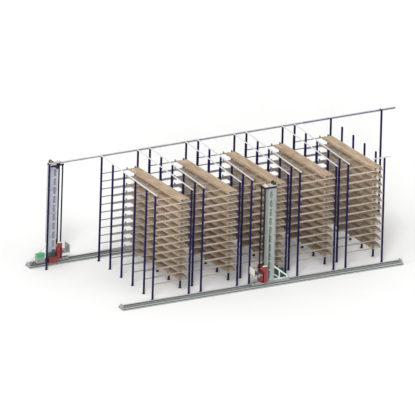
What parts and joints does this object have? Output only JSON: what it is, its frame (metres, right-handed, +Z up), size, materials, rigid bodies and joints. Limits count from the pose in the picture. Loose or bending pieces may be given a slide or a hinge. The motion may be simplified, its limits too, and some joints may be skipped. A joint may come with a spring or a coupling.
{
  "type": "gravity-flow pallet rack",
  "caption": "Gravity-flow pallet rack blocks with inclined pallet lanes, roof ties and guide rail, served by a rail-guided stacker crane on each side.",
  "frame": {"origin": "on the floor, at the centre of the whole installation's footprint", "axes": "+X along the aisles, +Y from the front aisle to the rear aisle, +Z up"},
  "size_m": [40.5, 15.055, 11.33],
  "materials": {
    "upright_blue": "satin powder coat",
    "beam_cream": "satin powder coat, worn",
    "pallet_wood": "rough sawn boards",
    "galvanised": "galvanised, dull",
    "machine_grey": "satin enamel",
    "mast_grey": "satin enamel",
    "machine_red": "gloss enamel",
    "cabinet_green": "satin enamel",
    "dark_steel": "oiled, dark",
    "brushed_steel": "bare, rubbed bright"
  },
  "bodies": {
    "root": {"rack_1_frame_1": "upright_blue", "rack_1_frame_2": "upright_blue", "rack_1_frame_3": "upright_blue", "rack_1_frame_4": "upright_blue", "rack_1_frame_5": "upright_blue", "rack_1_frame_6": "upright_blue", "rack_2_frame_1": "upright_blue", "rack_2_frame_2": "upright_blue", "rack_2_frame_3": "upright_blue", "rack_2_frame_4": "upright_blue", "rack_2_frame_5": "upright_blue", "rack_2_frame_6": "upright_blue", "rack_3_frame_1": "upright_blue", "rack_3_frame_2": "upright_blue", "rack_3_frame_3": "upright_blue", "rack_3_frame_4": "upright_blue", "rack_3_frame_5": "upright_blue", "rack_3_frame_6": "upright_blue", "rack_4_frame_1": "upright_blue", "rack_4_frame_2": "upright_blue", "rack_4_frame_3": "upright_blue", "rack_4_frame_4": "upright_blue", "rack_4_frame_5": "upright_blue", "rack_4_frame_6": "upright_blue", "rack_5_frame_1": "upright_blue", "rack_5_frame_2": "upright_blue", "rack_5_frame_3": "upright_blue", "rack_5_frame_4": "upright_blue", "rack_5_frame_5": "upright_blue", "rack_5_frame_6": "upright_blue", "roof_grid": "galvanised", "rail_start_post": "upright_blue", "rail_end_post": "upright_blue", "front_guide_rail": "galvanised", "rear_track": "galvanised", "front_track": "galvanised"},
    "rear_crane": {"rear_crane_base": "machine_grey", "rear_crane_mast": "mast_grey", "rear_crane_brace": "machine_grey", "rear_crane_guide_frame": "upright_blue", "rear_crane_hoist_drive": "machine_red", "rear_crane_cabinet": "cabinet_green"},
    "rear_crane_carriage": {"rear_crane_carriage": "machine_red"},
    "rear_crane_fork_channel": {"rear_crane_fork_channel": "dark_steel"},
    "rear_crane_fork_tip": {"rear_crane_fork_tip": "brushed_steel"},
    "rear_crane_rear_wheel": {"rear_crane_rear_wheel": "dark_steel"},
    "rear_crane_front_wheel": {"rear_crane_front_wheel": "dark_steel"},
    "rear_crane_rope_drum": {"rear_crane_rope_drum": "dark_steel"},
    "front_crane": {"front_crane_base": "machine_grey", "front_crane_mast": "mast_grey", "front_crane_brace": "machine_grey", "front_crane_guide_frame": "upright_blue", "front_crane_hoist_drive": "machine_red", "front_crane_cabinet": "cabinet_green"},
    "front_crane_carriage": {"front_crane_carriage": "machine_red"},
    "front_crane_fork_channel": {"front_crane_fork_channel": "dark_steel"},
    "front_crane_fork_tip": {"front_crane_fork_tip": "brushed_steel"},
    "front_crane_rear_wheel": {"front_crane_rear_wheel": "dark_steel"},
    "front_crane_front_wheel": {"front_crane_front_wheel": "dark_steel"},
    "front_crane_rope_drum": {"front_crane_rope_drum": "dark_steel"}
  },
  "joints": [
    {"name": "rear_crane_travel", "type": "slide", "parent": "root", "child": "rear_crane", "axis": [1, 0, 0], "range_m": [-0.08, 34.4]},
    {"name": "rear_crane_lift", "type": "slide", "parent": "rear_crane", "child": "rear_crane_carriage", "axis": [0, 0, 1], "range_m": [0, 8.65]},
    {"name": "rear_crane_fork_reach", "type": "slide", "parent": "rear_crane_carriage", "child": "rear_crane_fork_channel", "axis": [0, 1, 0], "range_m": [-0.7, 0.7]},
    {"name": "rear_crane_tip_reach", "type": "slide", "parent": "rear_crane_fork_channel", "child": "rear_crane_fork_tip", "axis": [0, 1, 0], "range_m": [-0.7, 0.7]},
    {"name": "rear_crane_rear_wheel_spin", "type": "hinge", "parent": "rear_crane", "child": "rear_crane_rear_wheel", "pos_m": [-19.6, 6.9775, 0.3553], "axis": [0, 1, 0], "range_deg": [-31, 12717]},
    {"name": "rear_crane_front_wheel_spin", "type": "hinge", "parent": "rear_crane", "child": "rear_crane_front_wheel", "pos_m": [-16.1, 6.9775, 0.3553], "axis": [0, 1, 0], "range_deg": [-31, 12717]},
    {"name": "rear_crane_drum_spin", "type": "hinge", "parent": "rear_crane", "child": "rear_crane_rope_drum", "pos_m": [-18.3403, 6.45235, 0.6563], "axis": [1, 0, 0], "range_deg": [-1, 3306]},
    {"name": "front_crane_travel", "type": "slide", "parent": "root", "child": "front_crane", "axis": [1, 0, 0], "range_m": [-14.35, 12.42]},
    {"name": "front_crane_lift", "type": "slide", "parent": "front_crane", "child": "front_crane_carriage", "axis": [0, 0, 1], "range_m": [0, 8.65]},
    {"name": "front_crane_fork_reach", "type": "slide", "parent": "front_crane_carriage", "child": "front_crane_fork_channel", "axis": [0, 1, 0], "range_m": [-0.7, 0.7]},
    {"name": "front_crane_tip_reach", "type": "slide", "parent": "front_crane_fork_channel", "child": "front_crane_fork_tip", "axis": [0, 1, 0], "range_m": [-0.7, 0.7]},
    {"name": "front_crane_rear_wheel_spin", "type": "hinge", "parent": "front_crane", "child": "front_crane_rear_wheel", "pos_m": [1.5, -6.9775, 0.3553], "axis": [0, 1, 0], "range_deg": [-5306, 4593]},
    {"name": "front_crane_front_wheel_spin", "type": "hinge", "parent": "front_crane", "child": "front_crane_front_wheel", "pos_m": [-2, -6.9775, 0.3553], "axis": [0, 1, 0], "range_deg": [-5306, 4593]},
    {"name": "front_crane_drum_spin", "type": "hinge", "parent": "front_crane", "child": "front_crane_rope_drum", "pos_m": [0.2403, -6.45235, 0.6563], "axis": [1, 0, 0], "range_deg": [-1, 3306]}
  ],
  "couplings": [
    {"joint": "rear_crane_tip_reach", "follows": "rear_crane_fork_reach", "ratio": 1},
    {"joint": "rear_crane_rear_wheel_spin", "follows": "rear_crane_travel", "rad_per_m": 6.4516},
    {"joint": "rear_crane_front_wheel_spin", "follows": "rear_crane_travel", "rad_per_m": 6.4516},
    {"joint": "rear_crane_drum_spin", "follows": "rear_crane_lift", "rad_per_m": 6.6667},
    {"joint": "front_crane_tip_reach", "follows": "front_crane_fork_reach", "ratio": 1},
    {"joint": "front_crane_rear_wheel_spin", "follows": "front_crane_travel", "rad_per_m": 6.4516},
    {"joint": "front_crane_front_wheel_spin", "follows": "front_crane_travel", "rad_per_m": 6.4516},
    {"joint": "front_crane_drum_spin", "follows": "front_crane_lift", "rad_per_m": 6.6667}
  ]
}
